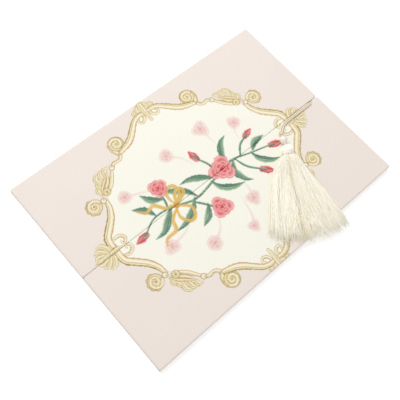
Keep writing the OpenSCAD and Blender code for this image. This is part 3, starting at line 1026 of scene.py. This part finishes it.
def wrap_edges(piece, side, inner, outer, low, high):
    """Draws the cloth's free edges down the board's walls and in under it, and its folded edge
    down the spine."""
    settings = cover()
    spine_low, spine_high = low_high("right_spine_cloth")
    middle = (spine_low.z + spine_high.z) / 2
    mesh = bmesh.new()
    mesh.from_mesh(piece.data)
    open_edges = [e for e in mesh.edges if e.is_boundary]
    on_fold = [e for e in open_edges if all(abs(v.co.x) > outer - 1e-6 for v in e.verts)]
    free = [e for e in open_edges if e not in set(on_fold)]
    tuck = settings.turn_in

    def draw(edges, place):
        made = bmesh.ops.extrude_edge_only(mesh, edges=edges)["geom"]
        for vertex in (g for g in made if isinstance(g, bmesh.types.BMVert)):
            vertex.co = place(vertex.co)
        return [g for g in made if isinstance(g, bmesh.types.BMEdge) and g.is_boundary
                and sum(f.calc_center_median() is not None for f in g.link_faces) == 1]

    def ring(edges, place):
        """Extrudes a chain of edges once and returns the new outer chain."""
        made = bmesh.ops.extrude_edge_only(mesh, edges=edges)["geom"]
        fresh = {g for g in made if isinstance(g, bmesh.types.BMVert)}
        for vertex in fresh:
            vertex.co = place(vertex.co)
        return [g for g in made
                if isinstance(g, bmesh.types.BMEdge) and all(v in fresh for v in g.verts)]

    def down_to(z):
        return lambda co: Vector((co.x, co.y, min(co.z, z)))

    def in_to(width, z):
        def place(co):
            x = max(abs(co.x) if co.x * side > 0 else -abs(co.x), inner)
            x = max(co.x * side, inner + width)
            y = min(max(co.y, low.y + width), high.y - width)
            return Vector((x * side, y, z))
        return place

    chain = ring(free, down_to(high.z - settings.edge_radius - 0.5 * MM))
    chain = ring(chain, down_to(low.z + 0.15 * MM))
    chain = ring(chain, in_to(0.15 * MM, low.z))
    ring(chain, in_to(tuck, low.z))
    chain = ring(on_fold, down_to((middle + high.z - settings.fold_radius) / 2))
    ring(chain, down_to(middle))
    bmesh.ops.remove_doubles(mesh, verts=mesh.verts, dist=1e-6)
    bmesh.ops.recalc_face_normals(mesh, faces=mesh.faces)
    mesh.to_mesh(piece.data)
    mesh.free()
    piece.data.shade_smooth()


def dimple_for_cord(piece):
    """Presses the door's edge in where the cord goes down beside it."""
    mesh = piece.data
    points = np.empty(len(mesh.vertices) * 3, np.float32)
    mesh.vertices.foreach_get("co", points)
    points = points.reshape(-1, 3)
    x = (points[:, 0] - MEETING) / MM
    y = (points[:, 1] - HEAD) / MM
    window = (1 - shade(1.9, 2.9, x)) * shade(-9.9, -8.4, y) * (1 - shade(-6.8, -4.0, y))
    top = points[:, 2] > COVER_TOP - 1.2 * MM
    points[:, 2] -= (window * 1.25 * MM * top).astype(np.float32)
    mesh.vertices.foreach_set("co", points.ravel())
    mesh.update()


def dye_cloth(piece):
    """Stores the print's colour on the cloth's points."""
    mesh = piece.data
    points = np.empty(len(mesh.vertices) * 3, np.float32)
    mesh.vertices.foreach_get("co", points)
    points = points.reshape(-1, 3)
    places = points[:, :2] / MM
    # Past an edge the print runs on down the wall, so the fall is added to the way out
    low, high = points.min(0)[:2] / MM, points.max(0)[:2] / MM
    fall = np.clip((COVER_TOP - points[:, 2]) / MM - 0.4, 0, None)
    for axis in (0, 1):
        for edge, way in ((low[axis], -1), (high[axis], 1)):
            past = (places[:, axis] - edge) * way > -0.75
            places[past, axis] += fall[past] * way
    places -= (MEETING / MM, 0)
    colours = np.ones((len(places), 4), np.float32)
    colours[:, :3] = print_colours(places)
    attribute = mesh.attributes.new("dye", "FLOAT_COLOR", "POINT")
    attribute.data.foreach_set("color", colours.ravel())


class BOOK_OT_door_cloths(bpy.types.Operator):
    """Stretches the printed cloth over both doors and down over their folds"""

    bl_idname = "book.door_cloths"
    bl_label = "Printed door cloths"

    def execute(self, context):
        for side, name in SIDE_NAMES.items():
            piece = door_cloth(side)
            if side == RIGHT:
                dimple_for_cord(piece)
            dye_cloth(piece)
            dress(piece, "printed")
            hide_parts(f"{name}_door_cloth")
            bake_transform(piece)
        return {"FINISHED"}


# How far the spine's cloth runs on under the back
BACK_LAP = 9 * MM


def fold_rows(side, outer, radius, top, reach):
    """Cross-section of the spine's cloth, from the back's underside round to the spine."""
    turn = np.linspace(0, math.pi / 2, 7)
    arc = [(outer - radius + radius * math.sin(a), radius - radius * math.cos(a)) for a in turn]
    rows = [(outer - reach, 0.0), *arc, (outer, (radius + top) / 2), (outer, top)]
    return [(side * x, z) for x, z in rows]


class BOOK_OT_spine_cloths(bpy.types.Operator):
    """Runs the cloth from the back round each lower fold and up the spine"""

    bl_idname = "book.spine_cloths"
    bl_label = "Spine cloths"

    def execute(self, context):
        for side, name in SIDE_NAMES.items():
            low, high = low_high(f"{name}_spine_cloth")
            outer = max(abs(low.x), abs(high.x))
            radius = cover().fold_radius
            rows = fold_rows(side, outer, radius, (low.z + high.z) / 2, BACK_LAP)
            ups = even(low.y, high.y, 3 * MM)
            points = [(x, y, z) for x, z in rows for y in ups]
            piece = mesh_piece(f"{name}_spine_folded_cloth", points,
                               grid_faces(len(rows), len(ups)))
            if side == LEFT:
                piece.data.flip_normals()
            dress(piece, "cloth")
            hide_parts(f"{name}_spine_cloth")
            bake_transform(piece)
            wrap = rounded_slab(f"{name}_spine_wrap", *low_high(f"{name}_spine_board"),
                                0.04 * MM, 0.25 * MM)
            dress(wrap, "cloth")
            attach(wrap, f"{name}_spine")
        return {"FINISHED"}


def rounded_slab(name, low, high, grow, bevel):
    """A slab that clothes a box of the frame, with its edges eased."""
    deselect()
    centre, size = (low + high) / 2, high - low + Vector((grow, grow, grow)) * 2
    bpy.ops.mesh.primitive_cube_add(size=1, location=centre)
    piece = bpy.context.object
    piece.name = piece.data.name = name
    piece.scale = size
    bpy.ops.object.transform_apply(location=True, rotation=True, scale=True)
    apply_modifier(piece, "BEVEL", width=bevel, segments=3, limit_method="ANGLE")
    active(piece)
    bpy.ops.object.shade_smooth_by_angle(angle=math.radians(40))
    return piece


class BOOK_OT_back_cloth(bpy.types.Operator):
    """Lays the back's cloth under the book and turns it in at head and foot"""

    bl_idname = "book.back_cloth"
    bl_label = "Back cloth"

    def execute(self, context):
        low, high = low_high("back_cloth")
        out = low_high("right_spine_cloth")[1].x - BACK_LAP
        board = low_high("back_board")[1].x - 0.02 * MM
        radius = cover().edge_radius * 0.7
        tuck = cover().turn_in
        turn = np.linspace(0, math.pi / 2, 5)
        end = high.y
        arc = [(end - radius + radius * math.sin(a), radius - radius * math.cos(a)) for a in turn]
        wall = [(end, high.z - 0.15 * MM), (end - 0.15 * MM, high.z), (end - tuck, high.z)]
        half = [*arc, *wall]
        rows = [(-y, z) for y, z in half[::-1]] + half
        xs = np.r_[-board, even(-out, out, 3 * MM), board]
        points = [(x, y, z) for y, z in rows for x in xs]
        # The spines' cloth lies under the two side strips, so the flat of this one stops there
        under = {len(half) - 1, len(half)}
        faces = [f for f in grid_faces(len(rows), len(xs))
                 if not ({i // len(xs) for i in f} == under
                         and any(i % len(xs) in (0, len(xs) - 1) for i in f))]
        piece = mesh_piece("back_folded_cloth", points, faces)
        dress(piece, "cloth")
        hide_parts("back_cloth")
        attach(piece, "back")
        return {"FINISHED"}


# ---------------------------------------------------------------------------
# Boards, linings and booklet


PLAIN_NODES = [
    ("back_board", "board", "cover_board"),
    ("left_spine_board", "board", "cover_board"),
    ("right_spine_board", "board", "cover_board"),
    ("left_door_board", "board", "cover_board"),
    ("right_door_board", "board", "cover_board"),
    ("back_lining", "lining", "lining_paper"),
    ("left_door_lining", "lining", "lining_paper"),
    ("right_door_lining", "lining", "lining_paper"),
    ("booklet_leaves", "paper", "leaf_paper"),
    ("booklet_glue", "glue", "binding_glue"),
    ("tassel_core", "yarn", "cord_yarn"),
]


def cut_for_cord(pad):
    """Cuts the wadding away where the cord goes down into its notch."""
    deselect()
    bpy.ops.mesh.primitive_cube_add(size=1, location=(MEETING, HEAD - 6.4 * MM, COVER_TOP))
    block = bpy.context.object
    block.scale = (6.4 * MM, 7.4 * MM, 8 * MM)
    bpy.ops.object.transform_apply(location=True, rotation=True, scale=True)
    if pad.name.startswith("right"):
        apply_modifier(pad, "BOOLEAN", object=block, operation="DIFFERENCE", solver="EXACT")
    bpy.data.objects.remove(block)


class BOOK_OT_frame_finishes(bpy.types.Operator):
    """Gives the boards, linings, leaves and threads of the frame their finishes"""

    bl_idname = "book.frame_finishes"
    bl_label = "Finishes of the inner parts"

    def execute(self, context):
        for node, material, slot in PLAIN_NODES:
            dress(frame["nodes"][node], material)
        for name in SIDE_NAMES.values():
            pad = rounded_slab(f"{name}_door_wadding", *low_high(f"{name}_door_padding"),
                               -0.02 * MM, 0.06 * MM)
            cut_for_cord(pad)
            dress(pad, "wadding")
            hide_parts(f"{name}_door_padding")
            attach(pad, f"{name}_door")
            self.joint_cloth(name)
        return {"FINISHED"}

    def joint_cloth(self, name):
        """Cloth over the board's bare strip between the lining and the fold."""
        board_low, board_high = low_high(f"{name}_door_board")
        paper_low, paper_high = low_high(f"{name}_door_lining")
        low = Vector((board_low.x, board_low.y + cover().turn_in, paper_low.z + 0.1 * MM))
        high = Vector((paper_low.x, board_high.y - cover().turn_in, board_low.z))
        if name == SIDE_NAMES[RIGHT]:
            low.x, high.x = paper_high.x, board_high.x
        strip = rounded_slab(f"{name}_door_joint_cloth", low, high, -0.01 * MM, 0.03 * MM)
        dress(strip, "cloth")
        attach(strip, f"{name}_door")


class BOOK_OT_booklet(bpy.types.Operator):
    """Folds the card wrapper round the leaves"""

    bl_idname = "book.booklet"
    bl_label = "Booklet wrapper"

    def execute(self, context):
        low, high = low_high("booklet_wrapper")
        thick = low_high("booklet_leaves")[0].z - low.z
        radius = (high.z - low.z) / 2
        turn = np.linspace(math.pi / 2, -math.pi / 2, 13)
        middle = (low.z + high.z) / 2
        spine = high.x - radius
        arc = [(spine + radius * math.cos(a), middle + radius * math.sin(a)) for a in turn]
        rows = [(low.x, high.z), (0, high.z), *arc, (0, low.z), (low.x, low.z)]
        ups = even(low.y, high.y, 4 * MM)
        points = [(x, y, z) for x, z in rows for y in ups]
        piece = mesh_piece("booklet_folded_wrapper", points, grid_faces(len(rows), len(ups)))
        apply_modifier(piece, "SOLIDIFY", thickness=thick * 0.9, offset=-1)
        dress(piece, "card")
        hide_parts("booklet_wrapper")
        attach(piece, "back")
        return {"FINISHED"}


# ---------------------------------------------------------------------------
# Cord and tassel


class BOOK_OT_cord(bpy.types.Operator):
    """Twists the two strands of the cord along their routes"""

    bl_idname = "book.cord"
    bl_label = "Cord strands"

    def execute(self, context):
        settings = tassel()
        knot = knot_piece()
        for name, route in (("inner", INNER_ROUTE), ("outer", OUTER_ROUTE)):
            path = smooth_route(on_doors(route), 0.15 * MM)
            points, faces = twisted(path, settings.strand, settings.lay)
            piece = mesh_piece(f"cord_twisted_{name}", points, faces)
            dress(piece, "yarn")
            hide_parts(f"cord_strand_{name}")
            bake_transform(piece)
        return {"FINISHED"}


class BOOK_OT_threads(bpy.types.Operator):
    """Lays the cord's tail in its notch and the fine thread across the cord"""

    bl_idname = "book.threads"
    bl_label = "Tail and thread"

    def execute(self, context):
        diameter = tassel().strand
        parts = [twisted(smooth_route(on_doors(route), 0.2 * MM), diameter * 0.96,
                         tassel().lay) for route in TAIL_ROUTES]
        tail = mesh_piece("cord_tail", *joined(parts))
        dress(tail, "yarn")
        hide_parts("cord_anchor")
        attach(tail, "right_door")
        for name, route, node, body in (
            ("cord_crossing_thread", TIE_ROUTE, "cord_tie", "cord"),
            ("left_crossing_thread", LEFT_THREAD_ROUTE, "left_door_thread", "left_door"),
        ):
            path = smooth_route(on_doors(route), 0.3 * MM)
            piece = mesh_piece(name, *twisted(path, 0.46 * MM, 1.2 * MM, plies=2, sides=6))
            dress(piece, "thread")
            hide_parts(node)
            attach(piece, body)
        return {"FINISHED"}


def knot_piece():
    """An overhand knot of the same cord, drawn tight."""
    turn = np.linspace(0, 2 * np.pi, 181)
    curve = np.stack([np.sin(turn) + 2 * np.sin(2 * turn), np.cos(turn) - 2 * np.cos(2 * turn),
                      -1.3 * np.sin(3 * turn)], 1)
    path = curve * 0.46 * MM
    points, faces = twisted(path, tassel().strand, tassel().lay)
    piece = mesh_piece("tassel_tied_knot", points, faces)
    piece.matrix_world = tassel_matrix(0) @ Matrix.Rotation(0.5, 4, "X")
    active(piece)
    bpy.ops.object.transform_apply(location=True, rotation=True, scale=True)
    dress(piece, "yarn")
    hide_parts("tassel_knot")
    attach(piece, "cord")
    return piece


class BOOK_OT_pearl(bpy.types.Operator):
    """Turns the pearl bead with its drilled ends"""

    bl_idname = "book.pearl"
    bl_label = "Pearl bead"

    def execute(self, context):
        deselect()
        radius = (low_high("tassel_pearl")[1] - low_high("tassel_pearl")[0]).z / 2
        bpy.ops.mesh.primitive_uv_sphere_add(segments=64, ring_count=40, radius=radius)
        piece = bpy.context.object
        piece.name = piece.data.name = "tassel_pearl_bead"
        bore = 0.56 * MM
        for vertex in piece.data.vertices:
            out = math.hypot(vertex.co.x, vertex.co.y)
            if out < bore:
                vertex.co.z *= 1 - 0.35 * (1 - out / bore)
        piece.matrix_world = tassel_matrix(PEARL_RUN)
        bpy.ops.object.transform_apply(location=True, rotation=True, scale=True)
        bpy.ops.object.shade_smooth()
        dress(piece, "pearl")
        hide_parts("tassel_pearl")
        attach(piece, "tassel")
        return {"FINISHED"}


class BOOK_OT_tassel_head(bpy.types.Operator):
    """Gathers the floss over the tassel's head and winds the binding round its neck"""

    bl_idname = "book.tassel_head"
    bl_label = "Tassel head and binding"

    def execute(self, context):
        self.head()
        self.binding()
        return {"FINISHED"}

    def head(self):
        """A dome, a barrel and a neck, ribbed by the threads that run over them, with painted shade between
        the ribs.
        """
        barrel = HEAD_LENGTH - NECK_LENGTH
        turn = np.linspace(0.09, math.pi / 2, 12)
        profile = [(HEAD_RADIUS * math.sin(a), HEAD_RADIUS * (1 - math.cos(a))) for a in turn]
        profile += [(HEAD_RADIUS * 0.99, barrel * 0.9), (HEAD_RADIUS * 0.93, barrel),
                    (NECK_RADIUS, barrel + 0.5 * MM), (NECK_RADIUS, HEAD_LENGTH)]
        sides, ribs = 216, 54
        angle = np.linspace(0, 2 * np.pi, sides, endpoint=False)
        rings = []
        for r, z in profile:
            ripple = 1 + 0.035 * np.cos(ribs * angle + 220 * z)
            rings.append(np.stack([r * ripple * np.cos(angle),
                                   1.22 * r * ripple * np.sin(angle), np.full(sides, z)], 1))
        count = len(profile)
        faces = [(i * sides + k, i * sides + (k + 1) % sides,
                  (i + 1) * sides + (k + 1) % sides, (i + 1) * sides + k)
                 for i in range(count - 1) for k in range(sides)]
        faces += [tuple(range(sides - 1, -1, -1)),
                  tuple((count - 1) * sides + k for k in range(sides))]
        piece = mesh_piece("tassel_head_floss", np.vstack(rings), faces)
        # The threads' tone rises and falls round the head in step with the ribs, lighter on them and darker
        # between them: a painted shade between the ribs.
        shades = np.tile(0.75 + 0.25 * np.cos(ribs * angle), count).astype(np.float32)
        piece.data.attributes.new("shade", "FLOAT", "POINT").data.foreach_set("value", shades)
        self.place(piece, HEAD_RUN, "floss", "skirt_yarn", "tassel_head")

    def binding(self):
        """Side by side turns of thread round the neck."""
        thread = 0.5 * MM
        turns = 5
        angle = np.linspace(0, 2 * np.pi * turns, turns * 40)
        radius = NECK_RADIUS + thread / 2
        path = np.stack([radius * np.cos(angle), radius * np.sin(angle),
                         thread / 2 + angle / (2 * np.pi) * thread], 1)
        points, faces = tube(path, thread * 0.52, 8)
        piece = mesh_piece("tassel_wound_binding", points, faces)
        self.place(piece, HEAD_RUN + HEAD_LENGTH - NECK_LENGTH + 0.1 * MM, "thread",
                   "white_thread", "tassel_binding")

    def place(self, piece, run, material, slot, node):
        """Puts a piece modelled round +Z on the tassel's line and lets it ride there."""
        piece.matrix_world = tassel_matrix(run)
        active(piece)
        bpy.ops.object.transform_apply(location=True, rotation=True, scale=True)
        dress(piece, material)
        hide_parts(node)
        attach(piece, "tassel")


class BOOK_OT_skirt(bpy.types.Operator):
    """Lays the skirt's threads out from the neck, lock by lock"""

    bl_idname = "book.skirt"
    bl_label = "Tassel skirt"

    def execute(self, context):
        settings = tassel()
        random = np.random.default_rng(7)
        matrix = tassel_matrix(HEAD_RUN + HEAD_LENGTH - 0.4 * MM)
        neck = np.array(matrix.translation)
        out = np.array(matrix.to_3x3() @ Vector((0, 0, 1)))
        side = np.array(matrix.to_3x3() @ Vector((0, 1, 0)))
        rise = np.cross(out, side)
        rise = rise if rise[2] > 0 else -rise
        parts, shades = [], []
        floor = COVER_TOP + 0.3 * MM + settings.floss / 2
        for lock in range(settings.locks):
            share = (lock + random.uniform(-0.5, 0.5)) / (settings.locks - 1)
            share = min(max(share, 0), 1)
            layer = random.uniform(0, 1)
            tone = random.uniform(0.1, 1)
            heading = SKIRT_HEADING + settings.skirt_spread * (0.5 - share) * 0.97
            reach = settings.skirt_length * random.uniform(0.9, 0.985)
            bow = random.normal(0, 1.4) * MM
            # The threads shoulder out wide from the neck before they fall straight
            wing = (0.5 - share) * 2
            shoulder = wing * (7.0 if wing > 0 else 10.0) * MM
            sweep = wing * (11.0 if wing > 0 else 15.0) * MM
            for _ in range(settings.floss_per_lock):
                angle = heading + random.normal(0, 0.02)
                run = reach + random.uniform(-3.5, 0.9) * MM
                tip = neck + run * np.array([math.cos(angle), math.sin(angle), 0])
                tip[2] = floor + (0.1 + 1.2 * layer + random.uniform(0, 0.4)) * MM
                lift = random.uniform(-0.85, 0.85)
                start = neck + NECK_RADIUS * (side * np.clip(wing * 0.85, -0.9, 0.9)
                                              + rise * lift * 0.8)
                width = np.array([-math.sin(angle), math.cos(angle), 0])
                stray = random.normal(0, 0.5, 3) * MM
                near = neck + out * 4.5 * MM + side * (shoulder + stray[0])
                far = neck + out * 13 * MM + side * (sweep + stray[1] + bow * 0.5)
                middle = far * 0.5 + tip * 0.5 + width * (bow + stray[2])
                crown = 1 - 0.75 * abs(wing) ** 2
                near[2] = max(floor, neck[2] + (lift * 2.6 * crown - 2.4 * (1 - crown)) * MM)
                far[2] = floor + (0.6 + 3.6 * crown * (0.3 + 0.7 * (lift + 1) / 2)) * MM
                middle[2] = floor + (0.4 + 2.2 * (0.3 * layer + 0.35 * (lift + 1))) * MM
                path = smooth_route([start, near, far, middle, tip], 5.6 * MM)
                along = np.linspace(0, 1, len(path))[:, None]
                wave = np.sin(along * random.uniform(6, 13) + random.uniform(0, 6.3))
                path = path + width * wave * along * random.uniform(0.15, 0.6) * MM
                path[:, 2] = np.maximum(path[:, 2], floor)
                half = settings.floss / 2 * np.interp(along[:, 0], [0, 0.8, 1], [1, 1, 0.35])
                parts.append(tube(path, half, 4, flat=0.4))
                own = np.clip(tone + random.normal(0, 0.22), 0, 1)
                shades.append(np.full(len(parts[-1][0]), own))
        points, faces = joined(parts)
        piece = mesh_piece("tassel_skirt_floss", points, faces)
        piece.data.attributes.new("shade", "FLOAT", "POINT").data.foreach_set(
            "value", np.concatenate(shades).astype(np.float32)
        )
        dress(piece, "floss")
        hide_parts("tassel_skirt")
        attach(piece, "tassel")
        return {"FINISHED"}


# ---------------------------------------------------------------------------
# Stage


CAMERA_PLACE = Vector((94.75, -140.59, 356.2)) * MM
CAMERA_LOOK = Vector((-0.22500646, 0.32708746, -0.91781582))
CAMERA_UP = Vector((-0.71397703, 0.58564297, 0.38374356))


class BOOK_OT_stage(bpy.types.Operator):
    """Sets the floor, the soft light and the camera"""

    bl_idname = "book.stage"
    bl_label = "Stage"

    def execute(self, context):
        settings = context.scene.book_stage
        context.scene.view_settings.view_transform = "Standard"
        self.camera(settings)
        self.floor(settings)
        self.sky(settings)
        self.window(settings)
        return {"FINISHED"}

    def camera(self, settings):
        """The camera, seen from above and to the right of the foot."""
        data = bpy.data.cameras.new("camera")
        data.sensor_width = 36
        data.lens = settings.lens
        camera = bpy.data.objects.new("camera", data)
        bpy.context.scene.collection.objects.link(camera)
        right = CAMERA_LOOK.cross(CAMERA_UP).normalized()
        up = right.cross(CAMERA_LOOK).normalized()
        turn = Matrix((right, up, -CAMERA_LOOK)).transposed()
        camera.matrix_world = Matrix.Translation(CAMERA_PLACE) @ turn.to_4x4()
        bpy.context.scene.camera = camera

    def floor(self, settings):
        """A pale floor that stays white where the camera sees it lit."""
        deselect()
        bpy.ops.mesh.primitive_plane_add(size=6, location=(0, 0, -0.1 * MM))
        floor = bpy.context.object
        floor.name = "floor"
        # Background paper, uncoated: dead matt, and lifted to white where it is seen
        material, tree, shader = new_material("pale_paper_sweep", 0.9)
        shader.inputs["Base Color"].default_value = settings.floor
        shader.inputs["Emission Color"].default_value = (1, 1, 1, 1)
        seen = add_node(tree, "ShaderNodeLightPath")
        lift = add_node(tree, "ShaderNodeMath", {1: 0.3}, {0: seen.outputs["Is Camera Ray"]},
                        operation="MULTIPLY")
        tree.links.new(lift.outputs["Value"], shader.inputs["Emission Strength"])
        floor.data.materials.append(material)

    def sky(self, settings):
        """Even pale light from all round, white where it is seen."""
        world = bpy.data.worlds.new("studio")
        world.use_nodes = True
        tree = world.node_tree
        back = tree.nodes["Background"]
        back.inputs["Color"].default_value = (1, 1, 1, 1)
        seen = add_node(tree, "ShaderNodeLightPath")
        strength = add_node(
            tree, "ShaderNodeMix", {"A": settings.sky, "B": 1.0},
            {"Factor": seen.outputs["Is Camera Ray"]},
        )
        tree.links.new(strength.outputs["Result"], back.inputs["Strength"])
        bpy.context.scene.world = world

    def window(self, settings):
        """One broad soft light from the left of the head."""
        data = bpy.data.lights.new("window", "AREA")
        data.shape = "RECTANGLE"
        data.size, data.size_y = 0.9, 0.7
        data.energy = settings.window
        light = bpy.data.objects.new("window", data)
        bpy.context.scene.collection.objects.link(light)
        place = Vector((-0.55, 0.05, 0.75))
        light.location = place
        light.rotation_mode = "QUATERNION"
        light.rotation_quaternion = (Vector((0, 0, 0)) - place).to_track_quat("-Z", "Y")


class BOOK_OT_materials(bpy.types.Operator):
    """Makes the finishes of all the pieces"""

    bl_idname = "book.materials"
    bl_label = "Materials"

    def execute(self, context):
        make_materials()
        return {"FINISHED"}


STEPS = (
    BOOK_OT_stage, BOOK_OT_materials, BOOK_OT_cord, BOOK_OT_threads, BOOK_OT_door_cloths, BOOK_OT_spine_cloths,
    BOOK_OT_back_cloth, BOOK_OT_frame_finishes, BOOK_OT_booklet, BOOK_OT_pearl,
    BOOK_OT_tassel_head, BOOK_OT_skirt,
)


class BOOK_PT_panel(bpy.types.Panel):
    """Lists the steps that build the book"""

    bl_idname = "BOOK_PT_panel"
    bl_label = "Prayer book"
    bl_space_type = "VIEW_3D"
    bl_region_type = "UI"
    bl_category = "Prayer book"

    def draw(self, context):
        for step in STEPS:
            self.layout.operator(step.bl_idname)


SETTINGS = {
    "book_cover": BookCoverSettings,
    "book_print": BookPrintSettings,
    "book_tassel": BookTasselSettings,
    "book_stage": BookStageSettings,
}


def register():
    for group in SETTINGS.values():
        bpy.utils.register_class(group)
    for name, group in SETTINGS.items():
        setattr(bpy.types.Scene, name, PointerProperty(type=group))
    for step in STEPS:
        bpy.utils.register_class(step)
    bpy.utils.register_class(BOOK_PT_panel)


def unregister():
    bpy.utils.unregister_class(BOOK_PT_panel)
    for step in reversed(STEPS):
        bpy.utils.unregister_class(step)
    for name, group in SETTINGS.items():
        delattr(bpy.types.Scene, name)
        bpy.utils.unregister_class(group)


def main():
    register()
    bpy.ops.book.stage()
    bpy.ops.book.materials()
    bpy.ops.book.cord()
    bpy.ops.book.threads()
    bpy.ops.book.door_cloths()
    bpy.ops.book.spine_cloths()
    bpy.ops.book.back_cloth()
    bpy.ops.book.frame_finishes()
    bpy.ops.book.booklet()
    bpy.ops.book.pearl()
    bpy.ops.book.tassel_head()
    bpy.ops.book.skirt()


if __name__ == "__main__":
    main()
